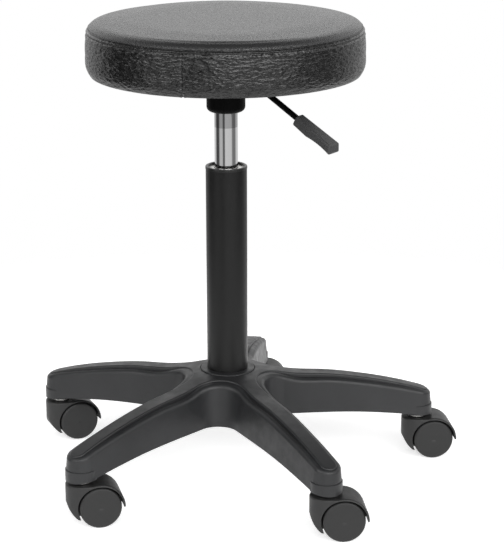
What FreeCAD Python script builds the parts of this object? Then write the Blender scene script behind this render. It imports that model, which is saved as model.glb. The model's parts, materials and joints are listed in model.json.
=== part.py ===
"""Adjustable swivel stool: a round padded seat on a gas lift, with a five-arm base on twin-wheel casters.

Millimetres. The origin is on the floor, under the swivel axis; +Z is up and -Y is the front. Every piece is
written as its own STEP file, with the casters turned and the lift set at mid height, as the stool rests.
"""
import FreeCAD
import Part
import math
import os
from FreeCAD import Placement, Rotation, Vector

# ---------------------------------------------------------------- driving dimensions
UP = Vector(0, 0, 1)
ORIGIN = Vector(0, 0, 0)
RUNNING = 0.05                    # radial clearance of every running fit

ARM_NAMES = ["right", "rear", "left", "front_left", "front_right"]
FIRST_ARM_DEG = 10.2              # the right arm, measured from +X
ARM_PITCH_DEG = 360 / len(ARM_NAMES)
TRAIL_DEG = {"right": 6.7, "rear": 10.0, "left": 23.0, "front_left": 14.0, "front_right": 5.5}

# base moulding
KINGPIN_REACH = 244.0             # stool axis to the caster stems
BOSS_RADIUS = 19.0
BOSS_BOTTOM = 58.0
BOSS_HEIGHT = 12.0
SIDE_TAPER = 0.034                # how fast each side closes on its arm's centre line
VALLEY_RADIUS = 25.0              # hollow curve between two arms, at the lowest level
DRAFT = 0.0875                    # side walls lean in by this much for each mm of height
STAR_LOW = 50.0
STAR_HIGH = 140.0
PANEL_TIP_RADIUS = 13.0
PANEL_TAPER = 0.020
PANEL_VALLEY_RADIUS = 31.0
PANEL_TIP_REACH = 247.0
# Height curves of the arms: distance from the stool's axis, height above the floor.
CROWN = [(34, 132), (58, 127.8), (84, 122.9), (120, 119.6), (170, 111.9), (215, 101.6), (250, 90.9),
         (275, 81.5)]
SHOULDER = [(40, 129), (61, 125.6), (84, 118.7), (120, 115.4), (170, 108), (215, 98.6), (250, 89.3),
            (275, 81.3)]
UNDERSIDE = [(60, 75.2), (110, 73.2), (160, 70.2), (205, 65.0), (244, 59.3), (275, 54.4)]
PANEL_FLOOR = [(60, 100), (150, 96), (275, 66)]          # bottom of the raised panel, inside the arms
POCKET_FLOOR = [(60, 52), (275, 50)]
SHOULDER_ROUND = 5.5
CROWN_ROUND = 1.8
MOULDING_WALL = 4.0
RIB = 3.0
CROSS_RIB_REACHES = [92, 132, 172, 208]
SLEEVE_RADIUS = 33.0
SLEEVE_BOTTOM = 70.0
LIP_TOP = 133.4
LIP_WIDTH = 8.4
BAND_THICKNESS = 2.2
BAND_LOW = 72.0
BAND_HIGH = 88.0
STEM_RADIUS = 5.5
STEM_TOP = 80.0
SOCKET_TOP = 81.0
GRIP_LOW = 66.0
GRIP_HIGH = 74.0

# stand tube and guide
TUBE_RADIUS = 25.0
TUBE_FOOT_RADIUS = 24.2
TUBE_WALL = 1.5
TUBE_TOP = 386.5
TUBE_FLOOR = 2.0
CAP_TOP = 390.0
CAP_RADIUS = 25.35
CAP_BORE = 21.6
CAP_SKIRT_LOW = 380.0
BUSH_LOW = 300.0
BUSH_TOP = 386.0
WASHER_THICKNESS = 1.6
WASHER_BORE = 14.8
CRIMP_COUNT = 12

# gas lift
CYLINDER_RADIUS = 14.0
CYLINDER_WALL = 1.5
CYLINDER_LOW = 175.0
CYLINDER_TOP = 482.5
TAPER_LOW = 462.0
TAPER_TOP_RADIUS = 13.4
CYLINDER_LID = 2.5
ROD_RADIUS = 5.0
ROD_LOW = 62.5
PISTON_LOW = 257.0
PISTON_TOP = 264.0
PIN_RADIUS = 3.0
PIN_LOW = 460.0
PIN_TOP = 488.7
VALVE_LOW = 450.0
RACE_LOW = SLEEVE_BOTTOM + TUBE_FLOOR
BALL_RADIUS = 1.6
BALL_CIRCLE = 9.0
BALL_COUNT = 12
RACE_RADIUS = 12.0
RACE_THICKNESS = 2.0
BALL_SLACK = 0.1
BALL_HEIGHT = RACE_LOW + RACE_THICKNESS + BALL_RADIUS
UPPER_RACE_LOW = BALL_HEIGHT + BALL_RADIUS + BALL_SLACK
STOP_RADIUS = 10.5
STOP_HEIGHT = 12.5
CLIP_LOW = 66.0
CLIP_THICKNESS = 1.3
FOOT_WASHER_THICKNESS = 2.0
SEAL_HEIGHT = 12.0

# seat
SEAT_BOTTOM = 504.0
SEAT_TOP = 566.5
SEAM_HEIGHT = 556.0
COVER = 1.2                       # thickness of the imitation leather
FLAP_RADIUS = 138.0               # how far the cover is turned in under the board
BOARD_RADIUS = 153.0
BOARD_LOW = 505.4
BOARD_THICKNESS = 12.0
DUST_RADIUS = 141.0
PLATE_TOP = 503.1
PLATE_SIDE = 150.0
PLATE_THICKNESS = 3.0
PLATE_RIM = 9.0
SCREW_HALF_PITCH = 55.0
SCREW_RADIUS = 3.0
STAPLE_COUNT = 40
STAPLE_CIRCLE = 146.0
SOCKET_RADIUS = 23.3
SOCKET_LOW = 456.5
SOCKET_ROUND = 6.5
SOCKET_THROAT = 17.0
TEE_FLANGE_RADIUS = 9.5
TEE_FLANGE = 1.2
TEE_BARREL_RADIUS = 4.2
TEE_BARREL_LOW = 507.0
SCREW_HEAD_RADIUS = 5.6
SCREW_HEAD = 3.0

# release lever, drawn in the upright plane through the axis at LEVER_DEG
LEVER_DEG = -35.0
LEVER_HEIGHT = 492.5
LEVER_PIVOT = 32.0
LEVER_ROD = 3.5
PIVOT_RADIUS = 1.6
BRACKET_REACH = (24.5, 42.0)
BRACKET_HALF = 8.5
BRACKET_METAL = 2.0
LEVER_BEND = 46.0
LEVER_BACK_END = -6.0
BEND_TANGENT = 6.0                # from the corner of the bend to where its arc starts
LEVER_SLOPE = 0.58
LEVER_TIP = 132.0
PADDLE_START_WIDTH = 12.5
PADDLE_END_WIDTH = 21.5
PADDLE_ROUND = 2.2

# casters, drawn with the stem at the origin and the axle behind it along +X
WHEEL_RADIUS = 25.0
TRAIL = 19.0
HOOD_RADIUS = 29.2
HOOD_BORE = 27.0
HOOD_TOP = 53.0
HOOD_FRONT = 19.4
HOOD_HALF_WIDTH = 22.0
HOOD_ROUND = 2.4
WEB_HALF = 5.2
WHEEL_INNER = 5.8
WHEEL_OUTER = 20.6
WHEEL_ROUND = 3.2
WHEEL_FACE = 3.2                  # thickness of the closed outer face
HUB_RADIUS = 6.2
RIM_BORE = 21.6
WHEEL_DOME = 0.5
AXLE_RADIUS = 3.0
AXLE_HALF = 16.0
KINGPIN_RADIUS = 3.6
KINGPIN_LOW = 30.0
STEM_FLANGE_RADIUS = 12.0
STEM_FLANGE_LOW = 54.0


# ---------------------------------------------------------------- shape helpers
def in_section(r, z):
    """A point of a section through the axis."""
    return Vector(r, 0, z)


def in_plan(x, y):
    """A point of a plan drawn at floor level."""
    return Vector(x, y, 0)


def outline(points, place=in_section):
    """Closed wire. Each item is a corner, or a pair (through, end) for an arc."""
    first = place(*points[0])
    here = first
    edges = []
    for item in points[1:]:
        if isinstance(item[0], tuple):
            through, end = (place(*p) for p in item)
            edges.append(Part.Arc(here, through, end).toShape())
        else:
            end = place(*item)
            edges.append(Part.LineSegment(here, end).toShape())
        here = end
    if here.distanceToPoint(first) > 1e-6:
        edges.append(Part.LineSegment(here, first).toShape())
    return Part.Wire(edges)


def revolved(points, axis=UP, place=in_section):
    return Part.Face(outline(points, place)).revolve(ORIGIN, axis, 360)


def prism(points, direction, place=in_plan, start=ORIGIN):
    face = Part.Face(outline(points, place))
    face.translate(start)
    return face.extrude(direction)


def cylinder(radius, low, high, x=0, y=0):
    return Part.makeCylinder(radius, high - low, Vector(x, y, low))


def ring(outer, inner, low, high):
    return cylinder(outer, low, high).cut(cylinder(inner, low - 1, high + 1))


def block(x, y, z):
    """Box from its lowest and highest x, y and z."""
    return Part.makeBox(x[1] - x[0], y[1] - y[0], z[1] - z[0], Vector(x[0], y[0], z[0]))


def turned(shape, degrees, x=0, y=0):
    copy = shape.copy()
    copy.Placement = Placement(Vector(x, y, 0), Rotation(UP, degrees)).multiply(copy.Placement)
    return copy


def on_circle(radius, degrees):
    angle = math.radians(degrees)
    return radius * math.cos(angle), radius * math.sin(angle)


def arm_angles():
    return {name: FIRST_ARM_DEG + ARM_PITCH_DEG * i for i, name in enumerate(ARM_NAMES)}


def write(name, shape):
    shape.exportStep(os.path.join("parts", name + ".step"))


# ---------------------------------------------------------------- base moulding
def star_wire(z, inset, tip_radius, tip_reach, taper, valley_radius):
    """Five-armed outline at height z, drawn inset: straight sides, round tips, round valleys."""
    tip = tip_radius - inset
    valley = valley_radius + inset
    lean = math.atan(taper)
    half_pitch = math.pi / len(ARM_NAMES)
    normal = Vector(math.sin(lean), math.cos(lean), 0)
    middle = Vector(math.cos(half_pitch), math.sin(half_pitch), 0)
    side_offset = tip_reach * math.sin(lean) + tip
    valley_centre = middle * ((side_offset + valley) / math.sin(half_pitch + lean))
    side_start = valley_centre - normal * valley
    side_end = Vector(tip_reach, 0, 0) + normal * tip
    edges = []
    for degrees in arm_angles().values():
        turn = Rotation(UP, degrees)
        next_turn = Rotation(UP, degrees + ARM_PITCH_DEG)

        def at(point, across=1, rotation=turn):
            moved = rotation.multVec(Vector(point.x, point.y * across, 0))
            return Vector(moved.x, moved.y, z)

        edges.append(Part.LineSegment(at(side_start, -1), at(side_end, -1)).toShape())
        edges.append(Part.Arc(at(side_end, -1), at(Vector(tip_reach + tip, 0, 0)), at(side_end)).toShape())
        edges.append(Part.LineSegment(at(side_end), at(side_start)).toShape())
        valley_mid = valley_centre - middle * valley
        edges.append(Part.Arc(at(side_start), at(valley_mid), at(side_start, -1, next_turn)).toShape())
    return Part.Wire(edges)


def star_prism(tip_radius, tip_reach, taper, valley_radius, inset=0.0):
    """Drafted five-armed block between STAR_LOW and STAR_HIGH."""
    wires = [
        star_wire(z, inset + DRAFT * (z - BOSS_BOTTOM), tip_radius, tip_reach, taper, valley_radius)
        for z in (STAR_LOW, STAR_HIGH)
    ]
    return Part.makeLoft(wires, True, True)


def height_curve(points, shift):
    """Section edges: level from the axis to the first point, then one smooth curve through the rest."""
    placed = [in_section(r, z + shift) for r, z in points]
    curve = Part.BSplineCurve()
    curve.interpolate(placed)
    on_axis = Vector(0, 0, placed[0].z)
    return [Part.LineSegment(on_axis, placed[0]).toShape(), curve.toShape()], on_axis, placed[-1]


def between(lower, upper, drop=0.0):
    """Body of revolution between two height curves, the upper one lowered by drop."""
    low_edges, low_axis, low_end = height_curve(lower, 0.0)
    high_edges, high_axis, high_end = height_curve(upper, -drop)
    closing = [Part.LineSegment(low_end, high_end).toShape(), Part.LineSegment(high_axis, low_axis).toShape()]
    face = Part.Face(Part.Wire(Part.sortEdges(low_edges + high_edges + closing)[0]))
    return turned(face.revolve(ORIGIN, UP, 360), FIRST_ARM_DEG + ARM_PITCH_DEG / 2)


def rim_edges(shape, lowest):
    """Edges where the turned top surface meets the drafted walls."""
    tops = [f for f in shape.Faces
            if f.Surface.TypeId == "Part::GeomSurfaceOfRevolution" and f.BoundBox.ZMax > lowest]
    walls = [f for f in shape.Faces if f.Surface.TypeId in ("Part::GeomPlane", "Part::GeomCone")]
    wall_edges = [e for f in walls for e in f.Edges]
    return [e for f in tops for e in f.Edges if any(e.isSame(w) for w in wall_edges)]


def arm_pockets():
    """The hollow under the arms, with its ribs left standing."""
    hollow = star_prism(BOSS_RADIUS, KINGPIN_REACH, SIDE_TAPER, VALLEY_RADIUS, MOULDING_WALL)
    hollow = hollow.common(between(POCKET_FLOOR, SHOULDER, drop=MOULDING_WALL + 0.6))
    keep = [cylinder(SLEEVE_RADIUS, 0, STAR_HIGH)]
    for degrees in arm_angles().values():
        x, y = on_circle(KINGPIN_REACH, degrees)
        keep.append(cylinder(BOSS_RADIUS, 0, STAR_HIGH, x, y))
        keep.append(turned(block((0, KINGPIN_REACH), (-RIB / 2, RIB / 2), (0, STAR_HIGH)), degrees))
        for reach in CROSS_RIB_REACHES:
            keep.append(turned(block((reach, reach + RIB), (-60, 60), (0, STAR_HIGH)), degrees))
    return hollow.cut(keep)


def boss_pockets():
    """Ring-shaped coring under each arm tip, with six ribs, around the stem's socket."""
    pocket = ring(BOSS_RADIUS - 3.2, STEM_RADIUS + 3.0, STAR_LOW, BOSS_BOTTOM + 16)
    for i in range(3):
        pocket = pocket.cut(turned(block((-30, 30), (-0.9, 0.9), (0, STAR_HIGH)), 60 * i))
    socket = cylinder(STEM_RADIUS, STAR_LOW, SOCKET_TOP).fuse(ring_room())
    return [
        turned(shape, degrees, *on_circle(KINGPIN_REACH, degrees))
        for degrees in arm_angles().values()
        for shape in (pocket, socket)
    ]


def ring_room():
    return cylinder(STEM_RADIUS + 0.5, GRIP_LOW, GRIP_HIGH)


def base_star():
    wide = star_prism(BOSS_RADIUS, KINGPIN_REACH, SIDE_TAPER, VALLEY_RADIUS)
    wide = wide.common(between(UNDERSIDE, SHOULDER))
    wide = wide.makeFillet(SHOULDER_ROUND, rim_edges(wide, 100))
    panel = star_prism(PANEL_TIP_RADIUS, PANEL_TIP_REACH, PANEL_TAPER, PANEL_VALLEY_RADIUS)
    panel = panel.common(between(PANEL_FLOOR, CROWN))
    panel = panel.makeFillet(CROWN_ROUND, rim_edges(panel, 100))
    body = wide.fuse(panel)
    bosses = [cylinder(BOSS_RADIUS, BOSS_BOTTOM, BOSS_BOTTOM + BOSS_HEIGHT, *on_circle(KINGPIN_REACH, a))
              for a in arm_angles().values()]
    sleeve = cylinder(SLEEVE_RADIUS, SLEEVE_BOTTOM, BAND_HIGH + 10)
    body = body.cut(arm_pockets()).fuse(bosses + [sleeve, column_lip()])
    return body.cut(boss_pockets() + [column_room(), band_room(), lip_groove()]).removeSplitter()


def column_lip():
    edge = TUBE_RADIUS + LIP_WIDTH
    return revolved([(TUBE_RADIUS - 3, 126), (edge, 126), (edge, LIP_TOP - 1.5),
                     ((edge - 0.44, LIP_TOP - 0.44), (edge - 1.5, LIP_TOP)), (TUBE_RADIUS - 3, LIP_TOP)])


def lip_groove():
    edge = TUBE_RADIUS + LIP_WIDTH
    return ring(edge + 1.0, edge, 130.2, LIP_TOP + 5)


def column_room():
    """The tapered hole that the foot of the stand tube is driven into."""
    return revolved([(0, 40), (TUBE_FOOT_RADIUS, 40), (TUBE_FOOT_RADIUS, SLEEVE_BOTTOM),
                     (TUBE_RADIUS, LIP_TOP), (TUBE_RADIUS, STAR_HIGH + 5), (0, STAR_HIGH + 5)])


def band_room():
    return ring(SLEEVE_RADIUS + BAND_THICKNESS, SLEEVE_RADIUS, 40, BAND_HIGH)


def sleeve_band():
    return ring(SLEEVE_RADIUS + BAND_THICKNESS, SLEEVE_RADIUS, BAND_LOW, BAND_HIGH)


# ---------------------------------------------------------------- stand tube
def stand_tube():
    """Tube with a tapered foot and a floor that carries the thrust bearing."""
    bore = TUBE_RADIUS - TUBE_WALL
    foot_bore = TUBE_FOOT_RADIUS - TUBE_WALL
    floor = SLEEVE_BOTTOM + TUBE_FLOOR
    return revolved([
        (ROD_RADIUS + 0.6, SLEEVE_BOTTOM), (TUBE_FOOT_RADIUS, SLEEVE_BOTTOM), (TUBE_RADIUS, LIP_TOP),
        (TUBE_RADIUS, TUBE_TOP), (bore, TUBE_TOP), (bore, LIP_TOP), (foot_bore, floor),
        (ROD_RADIUS + 0.6, floor)])


def tube_cap():
    bore = TUBE_RADIUS - TUBE_WALL
    return revolved([
        (CAP_BORE, CAP_SKIRT_LOW), (bore, CAP_SKIRT_LOW), (bore, TUBE_TOP), (CAP_RADIUS, TUBE_TOP),
        (CAP_RADIUS, CAP_TOP - 1.2), ((CAP_RADIUS - 0.35, CAP_TOP - 0.35), (CAP_RADIUS - 1.2, CAP_TOP)),
        (CAP_BORE + 0.8, CAP_TOP), (CAP_BORE, CAP_TOP - 0.8)])


def guide_bush():
    """Plastic sleeve that the gas cylinder slides and turns in."""
    return ring(TUBE_RADIUS - TUBE_WALL, CYLINDER_RADIUS + RUNNING, BUSH_LOW, CAP_SKIRT_LOW).fuse(
        ring(CAP_BORE, CYLINDER_RADIUS + RUNNING, CAP_SKIRT_LOW, BUSH_TOP)).removeSplitter()


def retaining_washer():
    """Steel washer on the bush, notched where it is crimped."""
    washer = ring(CAP_BORE, WASHER_BORE, BUSH_TOP, BUSH_TOP + WASHER_THICKNESS)
    notch = block((CAP_BORE - 2.4, CAP_BORE + 1), (-0.8, 0.8), (BUSH_TOP + 0.6, CAP_TOP))
    return washer.cut([turned(notch, 360 / CRIMP_COUNT * i) for i in range(CRIMP_COUNT)])


# ---------------------------------------------------------------- thrust bearing and piston rod
def bearing_balls():
    return Part.makeCompound([
        Part.makeSphere(BALL_RADIUS, Vector(*on_circle(BALL_CIRCLE, 360 / BALL_COUNT * i), BALL_HEIGHT))
        for i in range(BALL_COUNT)])


def ball_cage():
    cage = ring(RACE_RADIUS - 0.6, ROD_RADIUS + 1.4, BALL_HEIGHT - 0.6, BALL_HEIGHT + 0.6)
    return cage.cut([
        cylinder(BALL_RADIUS + 0.1, RACE_LOW, UPPER_RACE_LOW, *on_circle(BALL_CIRCLE, 360 / BALL_COUNT * i))
        for i in range(BALL_COUNT)])


def lower_race():
    return ring(RACE_RADIUS, ROD_RADIUS + 0.6, RACE_LOW, RACE_LOW + RACE_THICKNESS)


def upper_race():
    return ring(RACE_RADIUS, ROD_RADIUS, UPPER_RACE_LOW, UPPER_RACE_LOW + RACE_THICKNESS)


def bump_stop():
    low = UPPER_RACE_LOW + RACE_THICKNESS
    top = low + STOP_HEIGHT
    return revolved([(ROD_RADIUS, low), (STOP_RADIUS, low), (STOP_RADIUS, top - 3.5),
                     ((STOP_RADIUS - 1.0, top - 1.0), (STOP_RADIUS - 3.5, top)), (ROD_RADIUS, top)])


def piston_rod():
    """Rod with a clip groove at its foot and a rounded end."""
    groove = ROD_RADIUS - 1.0
    return revolved([
        (0, ROD_LOW), (ROD_RADIUS - 1, ROD_LOW), (ROD_RADIUS, ROD_LOW + 1), (ROD_RADIUS, CLIP_LOW),
        (groove, CLIP_LOW), (groove, CLIP_LOW + CLIP_THICKNESS), (ROD_RADIUS, CLIP_LOW + CLIP_THICKNESS),
        (ROD_RADIUS, PISTON_TOP), (0, PISTON_TOP)])


def foot_clip():
    """Open spring clip in the rod's groove."""
    clip = ring(ROD_RADIUS + 3.2, ROD_RADIUS - 1.0, CLIP_LOW, CLIP_LOW + CLIP_THICKNESS)
    return clip.cut(block((0, 20), (-3.2, 3.2), (CLIP_LOW - 1, CLIP_LOW + 2 * CLIP_THICKNESS)))


def foot_washer():
    low = CLIP_LOW + CLIP_THICKNESS
    return ring(ROD_RADIUS + 6.0, ROD_RADIUS + 0.1, low, low + FOOT_WASHER_THICKNESS)


def piston():
    rim = CYLINDER_RADIUS - CYLINDER_WALL - RUNNING * 2
    body = ring(rim, ROD_RADIUS, PISTON_LOW, PISTON_TOP)
    return body.cut(ring(rim + 1, rim - 1.6, PISTON_LOW + 2.5, PISTON_TOP - 2.5))


def piston_seal():
    rim = CYLINDER_RADIUS - CYLINDER_WALL - RUNNING
    return ring(rim, rim - 1.5, PISTON_LOW + 2.6, PISTON_TOP - 2.6)


# ---------------------------------------------------------------- gas cylinder
def gas_cylinder():
    """Closed-top cylinder whose upper end is tapered to seat in the socket."""
    bore = CYLINDER_RADIUS - CYLINDER_WALL
    taper_bore = TAPER_TOP_RADIUS - CYLINDER_WALL
    lid = CYLINDER_TOP - CYLINDER_LID
    return revolved([
        (bore, CYLINDER_LOW), (CYLINDER_RADIUS - 1, CYLINDER_LOW), (CYLINDER_RADIUS, CYLINDER_LOW + 1),
        (CYLINDER_RADIUS, TAPER_LOW), (TAPER_TOP_RADIUS, CYLINDER_TOP), (PIN_RADIUS + 0.3, CYLINDER_TOP),
        (PIN_RADIUS + 0.3, lid), (taper_bore, lid), (taper_bore, VALVE_LOW), (bore, VALVE_LOW)])


def rod_seal():
    """Guide and seal that closes the foot of the cylinder round the rod."""
    low = CYLINDER_LOW + 1
    return ring(CYLINDER_RADIUS - CYLINDER_WALL, ROD_RADIUS + RUNNING, low, low + SEAL_HEIGHT)


def valve_body():
    outer = TAPER_TOP_RADIUS - CYLINDER_WALL
    body = cylinder(outer, VALVE_LOW, CYLINDER_TOP - CYLINDER_LID)
    return body.cut(cylinder(PIN_RADIUS + RUNNING, PIN_LOW - 4.5, CYLINDER_TOP))


def release_pin():
    return revolved([(0, PIN_LOW), (PIN_RADIUS, PIN_LOW), (PIN_RADIUS, PIN_TOP - 1),
                     ((PIN_RADIUS - 0.3, PIN_TOP - 0.3), (PIN_RADIUS - 1, PIN_TOP)), (0, PIN_TOP)])


# ---------------------------------------------------------------- seat
def cushion(inset):
    """Crowned disc of the seat's section, drawn inset from the outside of its cover."""
    low = SEAT_BOTTOM + inset
    top = SEAT_TOP - inset
    return revolved([
        (0, low), (161 - inset, low), ((165.4 - 0.87 * inset, 513 + 0.5 * inset), (166.9 - inset, 528)),
        ((166.8 - inset, 541), (165.2 - inset, 553)),
        ((161.2 - 0.75 * inset, 562.3 - 0.66 * inset), (151, top)), (0, top)])


def cover_shell():
    return cushion(0).cut(cushion(COVER))


def cover_top():
    return cover_shell().common(cylinder(200, SEAM_HEIGHT + 0.1, SEAT_TOP + 10))


def cover_side():
    """Side band, carried round the lower edge and turned in under the board."""
    return cover_shell().common(ring(200, FLAP_RADIUS, SEAT_BOTTOM - 10, SEAM_HEIGHT - 0.1))


def seat_foam():
    low = BOARD_LOW + BOARD_THICKNESS + 0.3
    return cushion(COVER + 0.4).common(cylinder(200, low, SEAT_TOP))


def at_screws(shape):
    """Four copies of a shape, one at each screw of the seat plate."""
    places = [(sx * SCREW_HALF_PITCH, sy * SCREW_HALF_PITCH) for sx in (-1, 1) for sy in (-1, 1)]
    moved = [shape.translated(Vector(x, y, 0)) for x, y in places]
    return [turned(piece, LEVER_DEG) for piece in moved]


def seat_board():
    top = BOARD_LOW + BOARD_THICKNESS
    board = cylinder(BOARD_RADIUS, BOARD_LOW, top)
    holes = at_screws(cylinder(TEE_BARREL_RADIUS, BOARD_LOW - 1, top))
    recesses = at_screws(cylinder(TEE_FLANGE_RADIUS, top - TEE_FLANGE, top + 1))
    return board.cut(holes + recesses)


def tee_nuts():
    top = BOARD_LOW + BOARD_THICKNESS
    flange = cylinder(TEE_FLANGE_RADIUS, top - TEE_FLANGE, top)
    nut = flange.fuse(cylinder(TEE_BARREL_RADIUS, TEE_BARREL_LOW, top))
    nut = nut.cut(cylinder(SCREW_RADIUS, BOARD_LOW, top + 1)).removeSplitter()
    return Part.makeCompound(at_screws(nut))


def seat_screws():
    under = PLATE_TOP - PLATE_THICKNESS
    low = under - SCREW_HEAD
    edge = SCREW_HEAD_RADIUS
    head = revolved([(0, low), (edge - 2.0, low), ((edge - 0.6, low + 0.8), (edge, low + 2.2)), (edge, under),
                     (0, under)])
    screw = head.fuse(cylinder(SCREW_RADIUS, low + 1, BOARD_LOW + 9)).removeSplitter()
    screw = screw.cut(prism(hexagon(2.0), Vector(0, 0, 2.0), start=Vector(0, 0, low - 0.2)))
    return Part.makeCompound(at_screws(screw))


def hexagon(inner_radius):
    corner = inner_radius / math.cos(math.pi / 6)
    return [on_circle(corner, 60 * i) for i in range(6)]


def dust_cover():
    cloth = cylinder(DUST_RADIUS, PLATE_TOP, SEAT_BOTTOM - 0.1)
    return cloth.cut(at_screws(cylinder(SCREW_RADIUS + 0.2, PLATE_TOP - 1, SEAT_BOTTOM)))


def cover_staples():
    """Wire staples through the turned-in cover into the board."""
    crown = block((-0.6, 0.6), (-5, 5), (SEAT_BOTTOM - 0.6, SEAT_BOTTOM))
    legs = [block((-0.6, 0.6), (y, y + 0.6), (SEAT_BOTTOM - 0.6, SEAT_BOTTOM + 7)) for y in (-5, 4.4)]
    staple = crown.fuse(legs).removeSplitter()
    staple.translate(Vector(STAPLE_CIRCLE, 0, 0))
    return Part.makeCompound([turned(staple, 360 / STAPLE_COUNT * (i + 0.5)) for i in range(STAPLE_COUNT)])


def seat_plate():
    """Pressed steel pan with its rim turned down, screwed under the board."""
    half = PLATE_SIDE / 2
    pan = block((-half, half), (-half, half), (PLATE_TOP - PLATE_RIM, PLATE_TOP))
    corners = [e for e in pan.Edges if abs(e.BoundBox.ZLength - PLATE_RIM) < 0.01]
    pan = pan.makeFillet(18, corners)
    inner = half - PLATE_THICKNESS
    room = block((-inner, inner), (-inner, inner), (PLATE_TOP - PLATE_RIM - 1, PLATE_TOP - PLATE_THICKNESS))
    corners = [e for e in room.Edges if abs(e.BoundBox.ZLength - PLATE_RIM + PLATE_THICKNESS - 1) < 0.01]
    pan = pan.cut(room.makeFillet(15, corners))
    top_edges = [e for e in pan.Edges if e.BoundBox.ZMin > PLATE_TOP - 0.01]
    pan = pan.makeFillet(1.6, top_edges)
    return turned(pan, LEVER_DEG).cut(at_screws(cylinder(SCREW_RADIUS + 0.2, PLATE_TOP - 5, PLATE_TOP + 1)))


def seat_socket():
    """Tapered cup, welded under the plate, that the gas cylinder is driven into."""
    top = PLATE_TOP - PLATE_THICKNESS
    corner = SOCKET_ROUND * (1 - math.sqrt(0.5))
    cup = revolved([
        (CYLINDER_RADIUS, SOCKET_LOW), (SOCKET_RADIUS - SOCKET_ROUND, SOCKET_LOW),
        ((SOCKET_RADIUS - corner, SOCKET_LOW + corner), (SOCKET_RADIUS, SOCKET_LOW + SOCKET_ROUND)),
        (SOCKET_RADIUS, top), (SOCKET_THROAT, top), (SOCKET_THROAT, CYLINDER_TOP),
        (TAPER_TOP_RADIUS, CYLINDER_TOP), (CYLINDER_RADIUS, TAPER_LOW)])
    slot = block((10, 40), (-LEVER_ROD - 1.2, LEVER_ROD + 1.2), (LEVER_HEIGHT - 6.5, top + 1))
    return cup.cut(turned(slot, LEVER_DEG))


# ---------------------------------------------------------------- release lever
def lever_bracket():
    """Folded strip with two ears that hold the lever's pivot."""
    top = PLATE_TOP - PLATE_THICKNESS
    bridge = block(BRACKET_REACH, (-BRACKET_HALF, BRACKET_HALF), (top - BRACKET_METAL, top))
    ears = [block(BRACKET_REACH, (y, y + BRACKET_METAL), (LEVER_HEIGHT - 6, top))
            for y in (-BRACKET_HALF, BRACKET_HALF - BRACKET_METAL)]
    bracket = bridge.fuse(ears).removeSplitter().cut(pivot(PIVOT_RADIUS, 12))
    return turned(bracket, LEVER_DEG)


def pivot(radius, half):
    return Part.makeCylinder(radius, 2 * half, Vector(LEVER_PIVOT, -half, LEVER_HEIGHT), Vector(0, 1, 0))


def lever_pivot():
    return turned(pivot(PIVOT_RADIUS, 9.5), LEVER_DEG)


def rod_path(reach):
    """Centre line of the lever rod: level over the pin, then sloping down from a rounded bend."""
    down = Vector(1, 0, -LEVER_SLOPE)
    down.normalize()
    bend = Vector(LEVER_BEND, 0, LEVER_HEIGHT)
    turn = math.atan(LEVER_SLOPE)
    radius = BEND_TANGENT / math.tan(turn / 2)
    arc_start = bend - Vector(BEND_TANGENT, 0, 0)
    arc_end = bend + down * BEND_TANGENT
    centre = arc_start - Vector(0, 0, radius)
    arc_mid = centre + Vector(math.sin(turn / 2), 0, math.cos(turn / 2)) * radius
    end = bend + down * ((reach - LEVER_BEND) / down.x)
    return Part.Wire([
        Part.LineSegment(Vector(LEVER_BACK_END, 0, LEVER_HEIGHT), arc_start).toShape(),
        Part.Arc(arc_start, arc_mid, arc_end).toShape(),
        Part.LineSegment(arc_end, end).toShape()])


def rod_solid(reach):
    back_end = Vector(LEVER_BACK_END, 0, LEVER_HEIGHT)
    section = Part.Wire([Part.Circle(back_end, Vector(1, 0, 0), LEVER_ROD).toShape()])
    return rod_path(reach).makePipeShell([section], True, False)


def lever_rod():
    return turned(rod_solid(LEVER_TIP).cut(pivot(PIVOT_RADIUS + RUNNING, 12)), LEVER_DEG)


def lever_handle():
    """Paddle: flat sloping top that widens outwards, and a scooped underside with a square end."""
    side = prism([(99.3, 453.2), (105.6, 464.7), (154.6, 435.1), (154.6, 422.3),
                  ((139.0, 432.8), (119.0, 441.2))],
                 Vector(0, 40, 0), place=in_section, start=Vector(0, -20, 0))
    near, far = 98.0, 154.9
    start, end = PADDLE_START_WIDTH / 2, PADDLE_END_WIDTH / 2
    plan = prism([(near, -start), (far, -end), (far, end), (near, start)],
                 Vector(0, 0, 80), start=Vector(0, 0, 405))
    paddle = side.common(plan)
    paddle = paddle.makeFillet(PADDLE_ROUND, paddle.Edges)
    return turned(paddle.cut(rod_solid(LEVER_TIP)), LEVER_DEG)


# ---------------------------------------------------------------- casters
def hood_plan():
    """Round in front of the stem, widening to the full width over the wheels."""
    half = HOOD_HALF_WIDTH
    touch = math.degrees(math.atan2(half, TRAIL) + math.acos(HOOD_FRONT / math.hypot(TRAIL, half)))
    x, y = on_circle(HOOD_FRONT, touch)
    back = TRAIL + HOOD_RADIUS + 5
    return prism([(x, y), ((-HOOD_FRONT, 0), (x, -y)), (TRAIL, -half), (back, -half), (back, half),
                  (TRAIL, half)], Vector(0, 0, 70))


def hood_side():
    """Flat shoulder, round fender down to axle height, and a chin tucked in under the front."""
    rise = HOOD_TOP - WHEEL_RADIUS
    shoulder_end = TRAIL - math.sqrt(HOOD_RADIUS ** 2 - rise ** 2)
    back = TRAIL + HOOD_RADIUS
    over = (TRAIL + HOOD_RADIUS * math.cos(0.8), WHEEL_RADIUS + HOOD_RADIUS * math.sin(0.8))
    return prism([(-HOOD_FRONT - 2, HOOD_TOP), (shoulder_end, HOOD_TOP), (over, (back, WHEEL_RADIUS)),
                  (back - 5, WHEEL_RADIUS), (32, 12), (8, 10.5), (-7.5, 12),
                  ((-15.9, 21.3), (-HOOD_FRONT, 32)), (-HOOD_FRONT - 2, 38)],
                 Vector(0, 60, 0), place=in_section, start=Vector(0, -30, 0))


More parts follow.
